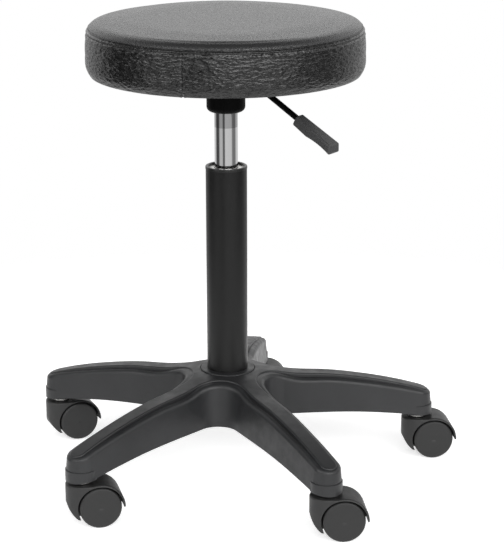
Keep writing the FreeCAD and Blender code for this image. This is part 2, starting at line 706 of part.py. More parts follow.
def across(radius, low, high):
    """Cylinder along the axle, from low to high across the caster."""
    return Part.makeCylinder(radius, high - low, Vector(TRAIL, low, WHEEL_RADIUS), Vector(0, 1, 0))


def caster_hood():
    hood = hood_plan().common(hood_side())
    hood = hood.makeFillet(HOOD_ROUND, [e for e in hood.Edges if is_hood_rim(e)])
    hood = hood.cut([across(HOOD_BORE, WEB_HALF, 40), across(HOOD_BORE, -40, -WEB_HALF)])
    kingpin_bore = cylinder(KINGPIN_RADIUS + RUNNING, KINGPIN_LOW, HOOD_TOP + 1)
    return hood.cut([kingpin_bore, across(AXLE_RADIUS, -30, 30)])


def is_hood_rim(edge):
    """Edges where the hood's flat top and its round fender turn down into its flanks."""
    box = edge.BoundBox
    runs_across = box.XLength < 0.01
    return not runs_across and box.ZMin > WHEEL_RADIUS - 0.01 and box.ZMax > WHEEL_RADIUS + 1


def axle():
    return across(AXLE_RADIUS, -AXLE_HALF, AXLE_HALF)


def dome_point(edge, radius):
    """Point of a wheel's outer face: part of a sphere that stands WHEEL_DOME proud in the middle."""
    sphere = (edge ** 2 + WHEEL_DOME ** 2) / (2 * WHEEL_DOME)
    return radius, WHEEL_OUTER + WHEEL_DOME - sphere + math.sqrt(sphere ** 2 - radius ** 2)


def wheel(side):
    """One wheel: closed, slightly domed outer face, hollow inside round its hub."""
    bore = AXLE_RADIUS + RUNNING
    tread = WHEEL_RADIUS
    face_edge = tread - WHEEL_ROUND
    corner = WHEEL_ROUND * (1 - math.sqrt(0.5))
    face_back = WHEEL_OUTER - WHEEL_FACE
    half = [(0, AXLE_HALF + 0.4), (bore, AXLE_HALF + 0.4), (bore, WHEEL_INNER), (HUB_RADIUS, WHEEL_INNER),
            (HUB_RADIUS + 0.6, face_back), (RIM_BORE - 0.6, face_back), (RIM_BORE, WHEEL_INNER),
            (tread - 1, WHEEL_INNER), ((tread - 0.3, WHEEL_INNER + 0.3), (tread, WHEEL_INNER + 1)),
            (tread, WHEEL_OUTER - WHEEL_ROUND),
            ((tread - corner, WHEEL_OUTER - corner), (face_edge, WHEEL_OUTER)),
            (dome_point(face_edge, 12.0), dome_point(face_edge, 0))]
    shape = revolved(half, axis=Vector(0, 1, 0), place=lambda r, y: Vector(r, side * y, 0))
    shape.translate(Vector(TRAIL, 0, WHEEL_RADIUS))
    return shape


def caster_stem():
    """Upper pin for the arm's socket, a flange, and a lower pin that the hood turns on."""
    waist = STEM_RADIUS - 1.0
    return revolved([
        (0, KINGPIN_LOW + 1), (KINGPIN_RADIUS, KINGPIN_LOW + 1), (KINGPIN_RADIUS, STEM_FLANGE_LOW),
        (STEM_FLANGE_RADIUS, STEM_FLANGE_LOW), (STEM_FLANGE_RADIUS, BOSS_BOTTOM), (STEM_RADIUS, BOSS_BOTTOM),
        (STEM_RADIUS, GRIP_LOW), (waist, GRIP_LOW), (waist, GRIP_HIGH), (STEM_RADIUS, GRIP_HIGH),
        (STEM_RADIUS, STEM_TOP - 1.2), (STEM_RADIUS - 1.2, STEM_TOP), (0, STEM_TOP)])


def grip_ring():
    """Split spring ring in the stem's groove, which holds it in the socket."""
    grip = ring(STEM_RADIUS + 0.5, STEM_RADIUS - 1.0, GRIP_LOW + 0.2, GRIP_HIGH - 0.2)
    return grip.cut(block((0, 20), (-0.8, 0.8), (GRIP_LOW - 1, GRIP_HIGH + 1)))


def at_kingpins(shape):
    return Part.makeCompound([
        turned(shape, degrees, *on_circle(KINGPIN_REACH, degrees)) for degrees in arm_angles().values()])


# ---------------------------------------------------------------- the whole stool
os.makedirs("parts", exist_ok=True)
FIXED = {
    "base_star": base_star, "sleeve_band": sleeve_band, "stand_tube": stand_tube, "tube_cap": tube_cap,
    "guide_bush": guide_bush, "retaining_washer": retaining_washer, "lower_race": lower_race,
    "bearing_balls": bearing_balls, "ball_cage": ball_cage, "upper_race": upper_race, "bump_stop": bump_stop,
    "piston_rod": piston_rod, "foot_clip": foot_clip, "foot_washer": foot_washer, "piston": piston,
    "piston_seal": piston_seal, "gas_cylinder": gas_cylinder, "rod_seal": rod_seal, "valve_body": valve_body,
    "release_pin": release_pin, "cover_top": cover_top, "cover_side": cover_side, "seat_foam": seat_foam,
    "seat_board": seat_board, "tee_nuts": tee_nuts, "seat_screws": seat_screws, "dust_cover": dust_cover,
    "cover_staples": cover_staples, "seat_plate": seat_plate, "seat_socket": seat_socket,
    "lever_bracket": lever_bracket, "lever_pivot": lever_pivot, "lever_rod": lever_rod,
    "lever_handle": lever_handle,
}
for node, make in FIXED.items():
    write(node, make())
write("caster_stems", at_kingpins(caster_stem()))
write("grip_rings", at_kingpins(grip_ring()))
CASTER_PIECES = {"hood": caster_hood(), "axle": axle(), "wheel_near": wheel(-1), "wheel_far": wheel(1)}
for arm, arm_degrees in arm_angles().items():
    kingpin = on_circle(KINGPIN_REACH, arm_degrees)
    for piece_name, piece_shape in CASTER_PIECES.items():
        write(f"caster_{arm}_{piece_name}", turned(piece_shape, TRAIL_DEG[arm], *kingpin))
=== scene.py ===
"""Looks of the adjustable swivel stool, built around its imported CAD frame. Metres, +Z up, -Y is the front."""
import json
import math

import bmesh
import bpy
import numpy as np
from mathutils import Matrix, Vector, noise
from mathutils.bvhtree import BVHTree


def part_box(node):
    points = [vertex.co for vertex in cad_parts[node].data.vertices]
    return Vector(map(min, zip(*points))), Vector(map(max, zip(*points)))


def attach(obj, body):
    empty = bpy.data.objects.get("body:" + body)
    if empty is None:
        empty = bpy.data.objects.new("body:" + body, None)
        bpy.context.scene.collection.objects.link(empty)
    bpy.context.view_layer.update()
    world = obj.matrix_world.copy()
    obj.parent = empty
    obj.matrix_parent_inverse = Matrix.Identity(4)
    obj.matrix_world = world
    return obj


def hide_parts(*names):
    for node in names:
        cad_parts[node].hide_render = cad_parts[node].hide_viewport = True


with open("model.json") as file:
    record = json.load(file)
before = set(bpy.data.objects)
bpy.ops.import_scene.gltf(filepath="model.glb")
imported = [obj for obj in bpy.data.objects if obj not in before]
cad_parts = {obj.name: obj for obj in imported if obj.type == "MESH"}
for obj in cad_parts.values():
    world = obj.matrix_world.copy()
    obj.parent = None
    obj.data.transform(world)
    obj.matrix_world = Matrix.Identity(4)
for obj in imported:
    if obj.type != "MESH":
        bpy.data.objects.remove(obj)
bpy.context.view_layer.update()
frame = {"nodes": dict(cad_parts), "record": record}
SCENE = bpy.context.scene
MM = 0.001

# ---------------------------------------------------------------- measures, from the frame
TOP_LOW, TOP_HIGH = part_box("cover_top")
SIDE_LOW, SIDE_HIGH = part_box("cover_side")
BOARD_LOW, BOARD_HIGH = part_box("seat_board")
SEAT_RADIUS = SIDE_HIGH.x
SEAT_TOP = TOP_HIGH.z
SEAT_BOTTOM = SIDE_LOW.z
BOARD_RADIUS = BOARD_HIGH.x
# Height where the painted shade of the seat begins on the chrome tube; above it the tube's colour is darker.
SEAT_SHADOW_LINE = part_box("seat_socket")[0].z - 18.5 * MM

# cushion section, as distances in from the seat's radius and down from its top
FLAP_WIDTH = 28.9 * MM            # turned-in edge of the cover, under the board
BOTTOM_ROUND = 5.9 * MM
UPPER_SEAM = 9.0 * MM             # below the top: where the top panel meets the side band
LOWER_SEAM = 12.8 * MM            # second row of stitching
SEAM_HALF_WIDTH = 0.75 * MM
SEAM_DEPTH = 1.1 * MM
WELT_RISE = 0.85 * MM
PUFF_RISE = 0.7 * MM              # the band fills out again under the second row
JOIN_DEG = -106.5                 # where the side band's two ends are joined
AROUND = 900                      # vertices round the cushion
STEP = 0.6 * MM                   # spacing of the section's points on the side
WRINKLE = 0.3 * MM
BOARD_GAP = 0.25 * MM

# simulation of the padding
SIM_SHRINK = 1.5 * MM
SIM_VOXEL = 6 * MM
SIM_PRESSURE = 4.0
SIM_FRAMES = 20
SIM_CAP = 5 * MM
SWELL_LIMITS = (-1.0 * MM, 2.2 * MM)
SMOOTH_AROUND = 40                # vertices each way round the cushion
SMOOTH_ACROSS = 7                 # rings each way

# stitching
STITCH = 3.0 * MM
STITCH_PITCH = 4.4 * MM
THREAD_RADIUS = 0.28 * MM

# camera
CAMERA_PLACE = (0.0307, -2.2975, 0.9333)
CAMERA_PITCH_DEG = 73.566
CAMERA_ROLL_DEG = -0.14
CAMERA_LENS = 129.3
SENSOR = 36.0


# ---------------------------------------------------------------- node helpers
def add(tree, kind, inputs=None, **settings):
    """A node with its settings and inputs; an input is a value or another node's output socket."""
    node = tree.nodes.new(kind)
    for name, value in settings.items():
        setattr(node, name, value)
    for key, value in (inputs or {}).items():
        if isinstance(value, bpy.types.NodeSocket):
            tree.links.new(value, node.inputs[key])
        else:
            node.inputs[key].default_value = value
    return node


def math_node(tree, operation, first, second=0.0):
    return add(tree, "ShaderNodeMath", {0: first, 1: second}, operation=operation).outputs[0]


def ramp(tree, value, stops):
    """Grey ramp; stops are (position, brightness)."""
    node = add(tree, "ShaderNodeValToRGB", {"Fac": value})
    points = node.color_ramp.elements
    while len(points) < len(stops):
        points.new(0.5)
    for point, (position, grey) in zip(points, stops):
        point.position = position
        point.color = (grey, grey, grey, 1)
    return node.outputs["Color"]


def rescaled(tree, value, low, high, start=0.0, end=1.0):
    inputs = {"Value": value, "From Min": start, "From Max": end, "To Min": low, "To Max": high}
    return add(tree, "ShaderNodeMapRange", inputs).outputs["Result"]


def place(tree, stretch=(1, 1, 1)):
    """Position on the object in metres, stretched."""
    coordinates = add(tree, "ShaderNodeTexCoord").outputs["Object"]
    return add(tree, "ShaderNodeMapping", {"Vector": coordinates, "Scale": stretch}).outputs["Vector"]


def grain(tree, where, per_metre, detail=3.0, rough=0.5):
    inputs = {"Vector": where, "Scale": per_metre, "Detail": detail, "Roughness": rough}
    return add(tree, "ShaderNodeTexNoise", inputs).outputs["Fac"]


def cells(tree, where, per_metre, feature="F1", randomness=1.0):
    inputs = {"Vector": where, "Scale": per_metre, "Randomness": randomness}
    return add(tree, "ShaderNodeTexVoronoi", inputs, feature=feature).outputs["Distance"]


def bumped(tree, height, distance, strength=1.0, below=None):
    inputs = {"Height": height, "Distance": distance, "Strength": strength}
    if below is not None:
        inputs["Normal"] = below
    return add(tree, "ShaderNodeBump", inputs).outputs["Normal"]


def tones(tree, factor, dark, light):
    """Colour that varies between two tones."""
    node = add(tree, "ShaderNodeMix", {"Factor": factor}, data_type="RGBA")
    node.inputs[6].default_value = (*dark, 1)
    node.inputs[7].default_value = (*light, 1)
    return node.outputs[2]


def material(name, build, **fixed):
    """Principled material: build(tree) gives the sockets that vary, fixed the values that don't."""
    made = bpy.data.materials.new(name)
    made.use_nodes = True
    tree = made.node_tree
    shader = next(n for n in tree.nodes if n.type == "BSDF_PRINCIPLED")
    for key, value in fixed.items():
        shader.inputs[key.replace("_", " ")].default_value = value
    for key, socket in build(tree).items():
        tree.links.new(socket, shader.inputs[key])
    return made


# ---------------------------------------------------------------- materials
def leather_top(tree):
    """Tight, smooth panel: fine pebble grain and slightly uneven gloss."""
    where = place(tree)
    pebbles = cells(tree, where, 900)
    soft = grain(tree, where, 26, 2)
    base = bumped(tree, soft, 0.0003, 0.2)
    return {
        "Base Color": tones(tree, grain(tree, where, 500), (0.012, 0.012, 0.0125), (0.020, 0.020, 0.0205)),
        "Roughness": rescaled(tree, grain(tree, where, 260), 0.20, 0.31, 0.3, 0.7),
        "Normal": bumped(tree, pebbles, 0.00040, 0.7, base),
    }


def leather_side(tree):
    """Side band: deeper grain, drawn out sideways, with glossy tops and duller creases. Its colour is kept
    darker than the top panel's and darker still in the creases: painted shade.
    """
    where = place(tree, (1, 1, 2.4))
    folds = grain(tree, where, 150, 2, 0.5)
    pebbles = cells(tree, where, 560)
    base = bumped(tree, folds, 0.0017, 1.0)
    return {
        # Colour darker in the creases than on the fold tops, and far darker than the top panel's: painted
        # shade.
        "Base Color": tones(tree, folds, (0.0015, 0.0015, 0.0015), (0.004, 0.004, 0.0041)),
        "Roughness": rescaled(tree, folds, 0.34, 0.13, 0.38, 0.58),
        "Normal": bumped(tree, pebbles, 0.00012, 0.5, base),
    }


def moulded(dark, light, rough_low, rough_high, spark=1400, depth=0.00012):
    """Injection-moulded plastic with a fine spark-eroded texture."""
    def build(tree):
        where = place(tree)
        texture = grain(tree, where, spark, 2, 0.6)
        flow = grain(tree, where, 18, 3)
        return {
            "Base Color": tones(tree, flow, dark, light),
            "Roughness": rescaled(tree, grain(tree, where, 90), rough_low, rough_high, 0.3, 0.7),
            "Normal": bumped(tree, texture, depth, 0.6),
        }
    return build


def coated(dark, light, rough):
    """Powder coat: faint orange peel."""
    def build(tree):
        where = place(tree)
        peel = grain(tree, where, 420, 2)
        return {
            "Base Color": tones(tree, grain(tree, where, 35), dark, light),
            "Roughness": rescaled(tree, peel, rough - 0.05, rough + 0.06, 0.3, 0.7),
            "Normal": bumped(tree, peel, 0.0002, 0.25),
        }
    return build


def metal(dark, light, rough_low, rough_high, lines=(1, 1, 1), per_metre=260, depth=0.00006):
    """Metal with grinding or plating marks drawn out along the axis where lines is small."""
    def build(tree):
        where = place(tree, lines)
        marks = grain(tree, where, per_metre, 4, 0.6)
        return {
            "Base Color": tones(tree, grain(tree, place(tree), 30), dark, light),
            "Roughness": rescaled(tree, marks, rough_low, rough_high, 0.3, 0.7),
            "Normal": bumped(tree, marks, depth, 0.5),
        }
    return build


def chrome(tree):
    """Ground and hard-chromed tube; its tapered upper end, in under the seat, has painted shade: its colour is
    darker.
    """
    where = place(tree, (1, 1, 30))
    marks = grain(tree, where, 90, 4, 0.6)
    height = add(tree, "ShaderNodeSeparateXYZ", {0: place(tree)}).outputs[2]
    upper = rescaled(tree, height, 0, 1, SEAT_SHADOW_LINE - 0.2 * MM, SEAT_SHADOW_LINE + 0.2 * MM)
    return {
        # Darker colour on the tube's upper end: painted shade of the seat, not a different finish.
        "Base Color": tones(tree, upper, (0.90, 0.90, 0.905), (0.56, 0.56, 0.565)),
        "Roughness": rescaled(tree, marks, 0.07, 0.12, 0.3, 0.7),
        "Normal": bumped(tree, marks, 0.00002, 0.5),
    }


def plywood(tree):
    """Thin veneers that change tone layer by layer, with long grain."""
    where = place(tree, (1, 14, 1))
    fibres = grain(tree, where, 60, 4, 0.6)
    layers = add(tree, "ShaderNodeTexWave", {"Vector": place(tree), "Scale": 105.0, "Distortion": 0.4},
                 bands_direction="Z").outputs["Fac"]
    faint = math_node(tree, "MULTIPLY", fibres, 0.6)
    mixed = math_node(tree, "ADD", faint, math_node(tree, "MULTIPLY", layers, 0.4))
    return {
        "Base Color": tones(tree, mixed, (0.30, 0.17, 0.08), (0.62, 0.44, 0.25)),
        "Roughness": rescaled(tree, fibres, 0.55, 0.75),
        "Normal": bumped(tree, fibres, 0.0003, 0.4),
    }


def nonwoven(tree):
    """Pressed fibre cloth: random fibres and a grid of bonding dots."""
    where = place(tree)
    fibres = grain(tree, where, 900, 6, 0.75)
    dots = cells(tree, where, 450, "F1", 0.0)
    height = math_node(tree, "ADD", fibres, math_node(tree, "MULTIPLY", dots, 0.7))
    return {
        "Base Color": tones(tree, fibres, (0.006, 0.006, 0.006), (0.030, 0.030, 0.031)),
        "Roughness": rescaled(tree, fibres, 0.8, 0.95),
        "Normal": bumped(tree, height, 0.0004, 0.8),
    }


def thread(tree):
    """Twisted polyester thread."""
    twist = add(tree, "ShaderNodeTexWave", {"Vector": place(tree), "Scale": 900.0, "Distortion": 2.0},
                bands_direction="DIAGONAL").outputs["Fac"]
    return {
        "Base Color": tones(tree, twist, (0.020, 0.020, 0.020), (0.050, 0.050, 0.050)),
        "Roughness": rescaled(tree, twist, 0.45, 0.6),
        "Normal": bumped(tree, twist, 0.0001, 0.6),
    }


GREY_NYLON = moulded((0.0080, 0.0082, 0.0088), (0.0200, 0.0205, 0.0218), 0.34, 0.50, 900)
SLOTS = {
    "base_nylon": material("base_nylon", GREY_NYLON, Specular_IOR_Level=0.42),
    "caster_nylon": material(
        "caster_nylon", moulded((0.0118, 0.0118, 0.0118), (0.0158, 0.0158, 0.0158), 0.42, 0.52),
        Specular_IOR_Level=0.42),
    "wheel_nylon": material(
        "wheel_nylon", moulded((0.0105, 0.0105, 0.0105), (0.0142, 0.0142, 0.0142), 0.44, 0.54, 1100),
        Specular_IOR_Level=0.40),
    "tube_black": material(
        "tube_black", coated((0.0028, 0.0028, 0.0028), (0.0045, 0.0045, 0.0045), 0.38),
        Specular_IOR_Level=0.32),
    "black_plastic": material(
        "black_plastic", moulded((0.005, 0.005, 0.005), (0.008, 0.008, 0.008), 0.28, 0.36)),
    "white_plastic": material(
        "white_plastic", moulded((0.62, 0.61, 0.57), (0.72, 0.71, 0.67), 0.30, 0.40)),
    "zinc_steel": material(
        "zinc_steel", metal((0.50, 0.50, 0.49), (0.72, 0.71, 0.68), 0.18, 0.34), Metallic=1.0),
    "alloy": material(
        "alloy", metal((0.66, 0.66, 0.67), (0.80, 0.80, 0.81), 0.22, 0.32, (1, 1, 12)), Metallic=1.0),
    "brass_cage": material(
        "brass_cage", metal((0.62, 0.44, 0.17), (0.78, 0.60, 0.28), 0.25, 0.35), Metallic=1.0),
    "chrome_cylinder": material("chrome_cylinder", chrome, Metallic=1.0),
    "socket_black": material(
        "socket_black", coated((0.0010, 0.0010, 0.0010), (0.0020, 0.0020, 0.0020), 0.5),
        Specular_IOR_Level=0.06),
    "rubber_black": material(
        "rubber_black", moulded((0.010, 0.010, 0.010), (0.018, 0.018, 0.018), 0.7, 0.85, 700)),
    "plywood": material("plywood", plywood),
    "dust_cloth": material("dust_cloth", nonwoven),
    "handle_plastic": material(
        "handle_plastic", moulded((0.032, 0.032, 0.033), (0.046, 0.046, 0.047), 0.44, 0.54, 900, 0.0002)),
}
LEATHER_TOP = material(
    "leather_top", leather_top, Specular_IOR_Level=0.5, Coat_Weight=0.06, Coat_Roughness=0.35)
LEATHER_SIDE = material("leather_side", leather_side, Specular_IOR_Level=0.6)
THREAD = material("thread_black", thread)
FOAM = material("foam", moulded((0.62, 0.58, 0.46), (0.75, 0.71, 0.58), 0.85, 0.95, 800, 0.0005))


def dress_cad_nodes():
    """Every CAD node gets the material of its slot in the record."""
    slots = {entry["node"]: entry["material_slot"] for entry in frame["record"]["subparts"]}
    for name, obj in frame["nodes"].items():
        obj.data.materials.clear()
        obj.data.materials.append(SLOTS.get(slots[name], LEATHER_SIDE))


# ---------------------------------------------------------------- mesh helpers
def new_object(name, vertices, faces, *materials):
    mesh = bpy.data.meshes.new(name)
    mesh.from_pydata([tuple(v) for v in vertices], [], faces)
    mesh.update()
    obj = bpy.data.objects.new(name, mesh)
    SCENE.collection.objects.link(obj)
    for entry in materials:
        mesh.materials.append(entry)
    mesh.polygons.foreach_set("use_smooth", [True] * len(mesh.polygons))
    return obj


def arc_points(start, through, end, step):
    """Points along the arc through three (r, z) points, without the last one."""
    (ax, ay), (bx, by), (cx, cy) = start, through, end
    d = 2 * (ax * (by - cy) + bx * (cy - ay) + cx * (ay - by))
    a2, b2, c2 = ax * ax + ay * ay, bx * bx + by * by, cx * cx + cy * cy
    ux = (a2 * (by - cy) + b2 * (cy - ay) + c2 * (ay - by)) / d
    uy = (a2 * (cx - bx) + b2 * (ax - cx) + c2 * (bx - ax)) / d
    radius = math.hypot(ax - ux, ay - uy)
    first = math.atan2(ay - uy, ax - ux)
    sweep = (math.atan2(cy - uy, cx - ux) - first + math.pi) % (2 * math.pi) - math.pi
    count = max(2, round(abs(sweep) * radius / step))
    turns = [first + sweep * i / count for i in range(count)]
    return [(ux + radius * math.cos(turn), uy + radius * math.sin(turn)) for turn in turns]


def line_points(start, end, step):
    count = max(1, round(math.dist(start, end) / step))
    return [(start[0] + (end[0] - start[0]) * i / count, start[1] + (end[1] - start[1]) * i / count)
            for i in range(count)]


def lathe(section, around):
    """Vertices and faces of a closed turned form; the section runs from the axis and back to it."""
    rings = section[1:-1]
    angles = 2 * np.pi * np.arange(around) / around
    vertices = [(0.0, 0.0, section[0][1])]
    for r, z in rings:
        vertices.extend(zip(r * np.cos(angles), r * np.sin(angles), [z] * around))
    vertices.append((0.0, 0.0, section[-1][1]))
    faces = []
    for j in range(around):
        k = (j + 1) % around
        faces.append((0, 1 + j, 1 + k))
        for i in range(len(rings) - 1):
            low, high = 1 + i * around, 1 + (i + 1) * around
            faces.append((low + j, high + j, high + k, low + k))
        last = 1 + (len(rings) - 1) * around
        faces.append((len(vertices) - 1, last + k, last + j))
    return vertices, faces


# ---------------------------------------------------------------- cushion
def seat_point(inward, down):
    """Section point from its distance in from the seat's radius and down from its top."""
    return SEAT_RADIUS - inward * MM, SEAT_TOP - down * MM


def outer_section(step, inset=0.0):
    """Outside of the cushion, from the middle of the top to the turned-in edge under the board."""
    corner_start = seat_point(15.9, 0)
    corner_end = seat_point(1.7, 13.5)
    waist = seat_point(0, 38.5)
    bottom = (SEAT_RADIUS - BOTTOM_ROUND, SEAT_BOTTOM)
    points = line_points((0.0, SEAT_TOP), corner_start, 3 * MM)
    points += arc_points(corner_start, seat_point(5.7, 4.2), corner_end, step)
    points += arc_points(corner_end, seat_point(0.1, 25.5), waist, step)
    points += arc_points(waist, seat_point(1.5, 53.5), bottom, step)
    points += line_points(bottom, (SEAT_RADIUS - FLAP_WIDTH, SEAT_BOTTOM), 2.5 * MM)
    middle = (SEAT_TOP + SEAT_BOTTOM) / 2
    return [(max(r - inset, 0.0), z - inset if z > middle else z + inset) for r, z in points]


def inner_section():
    """Inside of the cushion, round the board that it is stapled to."""
    flap_edge = SEAT_RADIUS - FLAP_WIDTH
    low = BOARD_LOW.z - BOARD_GAP
    high = BOARD_HIGH.z + BOARD_GAP
    rim = BOARD_RADIUS + BOARD_GAP
    corners = [(flap_edge, SEAT_BOTTOM), (flap_edge, low), (rim, low), (rim, high), (0.0, high)]
    points = []
    for start, end in zip(corners, corners[1:]):
        points += line_points(start, end, 6 * MM)
    return points + [corners[-1]]


def swollen_skin():
    """Cloth simulation of the stuffed cover: pressure swells a slightly small pad. Gives its skin."""
    section = outer_section(4 * MM, SIM_SHRINK) + [(0.0, SEAT_BOTTOM + SIM_SHRINK)]
    pad = new_object("pad_simulation", *lathe(section, 160))
    remesh = pad.modifiers.new("remesh", "REMESH")
    remesh.mode = "VOXEL"
    remesh.voxel_size = SIM_VOXEL
    apply_modifiers(pad)
    start = corners_of(pad.data)
    cloth = pad.modifiers.new("cloth", "CLOTH")
    cloth.settings.use_pressure = True
    cloth.settings.uniform_pressure_force = SIM_PRESSURE
    cloth.settings.effector_weights.gravity = 0.0
    cloth.settings.quality = 5
    cloth.point_cache.frame_start = 1
    cloth.point_cache.frame_end = SIM_FRAMES
    for number in range(1, SIM_FRAMES + 1):
        SCENE.frame_set(number)
    apply_modifiers(pad)
    moved = corners_of(pad.data) - start
    length = np.linalg.norm(moved, axis=1, keepdims=True)
    moved *= np.minimum(1.0, SIM_CAP / np.maximum(length, 1e-9))
    pad.data.vertices.foreach_set("co", (start + moved).ravel())
    smooth = pad.modifiers.new("smooth", "SUBSURF")
    smooth.levels = 1
    apply_modifiers(pad)
    tree = BVHTree.FromPolygons([v.co for v in pad.data.vertices], [p.vertices for p in pad.data.polygons])
    bpy.data.objects.remove(pad)
    SCENE.frame_set(1)
    return tree


def corners_of(mesh):
    co = np.zeros(len(mesh.vertices) * 3)
    mesh.vertices.foreach_get("co", co)
    return co.reshape(-1, 3)


def apply_modifiers(obj):
    bpy.context.view_layer.update()
    evaluated = obj.evaluated_get(bpy.context.evaluated_depsgraph_get())
    mesh = bpy.data.meshes.new_from_object(evaluated)
    obj.modifiers.clear()
    obj.data = mesh


def smoothstep(low, high, value):
    t = np.clip((value - low) / (high - low), 0, 1)
    return t * t * (3 - 2 * t)


def smoothed_around(values):
    """Running mean along each ring and over its neighbours, against the simulation's coarse steps."""
    rings = (len(values) - 1) // AROUND
    grid = values[1:1 + rings * AROUND].reshape(rings, AROUND)
    grid = sum(np.roll(grid, shift, axis=1) for shift in range(-SMOOTH_AROUND, SMOOTH_AROUND + 1))
    grid = grid / (2 * SMOOTH_AROUND + 1)
    padded = np.pad(grid, ((SMOOTH_ACROSS, SMOOTH_ACROSS), (0, 0)), mode="edge")
    grid = sum(padded[i:i + rings] for i in range(2 * SMOOTH_ACROSS + 1)) / (2 * SMOOTH_ACROSS + 1)
    out = values.copy()
    out[1:1 + rings * AROUND] = grid.ravel()
    return out


def swell(points, normals, tree):
    """How far each point moves out to the simulated skin."""
    reach = 12 * MM
    out = np.zeros(len(points))
    for i, (point, normal) in enumerate(zip(points, normals)):
        if point[2] < SEAT_BOTTOM + 6 * MM:
            continue
        direction = Vector(normal)
        hit = tree.ray_cast(Vector(point) - direction * reach, direction, 3 * reach)
        if hit[0] is not None:
            out[i] = hit[3] - reach
    out = smoothed_around(np.clip(out, *SWELL_LIMITS))
    return out * smoothstep(SEAT_BOTTOM + 6 * MM, SEAT_BOTTOM + 22 * MM, points[:, 2])


def seam_profile(points):
    """Rise and fall of the double seam under the top edge, and of the join in the side band."""
    down = SEAT_TOP - points[:, 2]
    radius = np.hypot(points[:, 0], points[:, 1])
    on_side = radius > SEAT_RADIUS - 8 * MM
    upper = np.exp(-((down - UPPER_SEAM) / SEAM_HALF_WIDTH) ** 2)
    lower = np.exp(-((down - LOWER_SEAM) / (0.8 * SEAM_HALF_WIDTH)) ** 2)
    middle = (UPPER_SEAM + LOWER_SEAM) / 2
    welt = np.exp(-((down - middle) / (1.3 * MM)) ** 2)
    puff = np.exp(-((down - LOWER_SEAM - 3.2 * MM) / (1.9 * MM)) ** 2)
    join = math.radians(JOIN_DEG)
    along = (points[:, 0] * -math.sin(join) + points[:, 1] * math.cos(join))
    facing = points[:, 0] * math.cos(join) + points[:, 1] * math.sin(join) > 0
    groove = np.exp(-(along / (0.9 * MM)) ** 2) * facing * smoothstep(UPPER_SEAM, LOWER_SEAM + MM, down)
    lip = np.exp(-((np.abs(along) - 2.2 * MM) / (1.1 * MM)) ** 2) * facing
    lip *= smoothstep(LOWER_SEAM, LOWER_SEAM + 2 * MM, down)
    return on_side * (-SEAM_DEPTH * upper - 0.55 * SEAM_DEPTH * lower + WELT_RISE * welt + PUFF_RISE * puff
                      - 1.1 * MM * groove + 0.45 * MM * lip)


def wrinkles(points):
    """Drawn-out creases of the side band, and a much fainter unevenness of the top panel."""
    out = np.zeros(len(points))
    side = smoothstep(UPPER_SEAM, LOWER_SEAM + 3 * MM, SEAT_TOP - points[:, 2])
    side *= smoothstep(SEAT_BOTTOM, SEAT_BOTTOM + 6 * MM, points[:, 2])
    for i, (x, y, z) in enumerate(points):
        if z < SEAT_BOTTOM + MM:
            continue
        drift = 6 * MM * noise.noise(Vector((x * 25, y * 25, z * 40)))
        fold = noise.noise(Vector((x * 95, y * 95, (z + drift) * 310)))
        wide = noise.noise(Vector((x * 40 + 7, y * 40, z * 90)))
        pucker = noise.noise(Vector((x * 160, y * 160, z * 30 + 5)))
        near_seam = math.exp(-((SEAT_TOP - z - LOWER_SEAM) / (4 * MM)) ** 2)
        out[i] = side[i] * WRINKLE * (1.0 - 2.4 * abs(fold) + 0.5 * wide) * 0.8
        out[i] += 0.16 * MM * pucker * near_seam
        out[i] += 0.08 * MM * noise.noise(Vector((x * 14, y * 14, z * 14 + 3)))
    return out


def make_cushion():
    """Closed cushion: top panel, side band and turned-in edge, swollen, creased and sewn."""
    section = outer_section(STEP) + inner_section()
    vertices, faces = lathe(section, AROUND)
    cushion = new_object("seat_cushion", vertices, faces, LEATHER_SIDE, LEATHER_TOP, FOAM)
    points = corners_of(cushion.data)
    normals = np.array([v.normal for v in cushion.data.vertices])
    rings = [1 + i * AROUND for i in range(len(outer_section(STEP)) - 1)]
    outside = np.zeros(len(points), bool)
    outside[:rings[-1]] = True
    offset = seam_profile(points) + wrinkles(points)
    offset += swell(points, normals, swollen_skin())
    offset[~outside] = 0.0
    cushion.data.vertices.foreach_set("co", (points + normals * offset[:, None]).ravel())
    for polygon in cushion.data.polygons:
        first = points[polygon.vertices[0]]
        if not all(outside[v] for v in polygon.vertices):
            polygon.material_index = 2 if first[2] > BOARD_LOW.z else 0
        elif SEAT_TOP - polygon.center.z < UPPER_SEAM:
            polygon.material_index = 1
    cushion.data.update()
    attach(cushion, "seat")
    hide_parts("cover_top", "cover_side", "seat_foam")
    return cushion


# ---------------------------------------------------------------- stitching
def stitch_mesh(place_at, along, outward, length, radius):
    """One stitch: a short bowed thread that dives into the cover at both ends."""
    across = along.cross(outward).normalized()
    sides, steps = 6, 6
    vertices, faces = [], []
    for i in range(steps + 1):
        t = i / steps * 2 - 1
        bow = math.sqrt(max(0.0, 1 - 0.92 * t * t))
        centre = place_at + along * (t * length / 2) + outward * ((bow - 0.75) * radius * 1.6)
        for j in range(sides):
            angle = 2 * math.pi * j / sides
            ring = across * math.cos(angle) + outward * math.sin(angle)
            vertices.append(centre + ring * radius * (0.35 + 0.65 * bow))
    for i in range(steps):
        for j in range(sides):
            k = (j + 1) % sides
            faces.append((i * sides + j, i * sides + k, (i + 1) * sides + k, (i + 1) * sides + j))
    faces.append(tuple(reversed(range(sides))))
    faces.append(tuple(steps * sides + j for j in range(sides)))
    return vertices, faces


def joined(name, parts, *materials):
    vertices, faces = [], []
    for part_vertices, part_faces in parts:
        base = len(vertices)
        vertices += part_vertices
        faces += [tuple(base + i for i in face) for face in part_faces]
    return new_object(name, vertices, faces, *materials)


def surface_at(tree, degrees, height):
    """Point of the cushion's side at that height, and its normal."""
    angle = math.radians(degrees)
    direction = Vector((math.cos(angle), math.sin(angle), 0))
    start = direction * (SEAT_RADIUS + 20 * MM)
    start.z = height
    hit = tree.ray_cast(start, -direction, 0.06)
    return hit[0], hit[1], direction


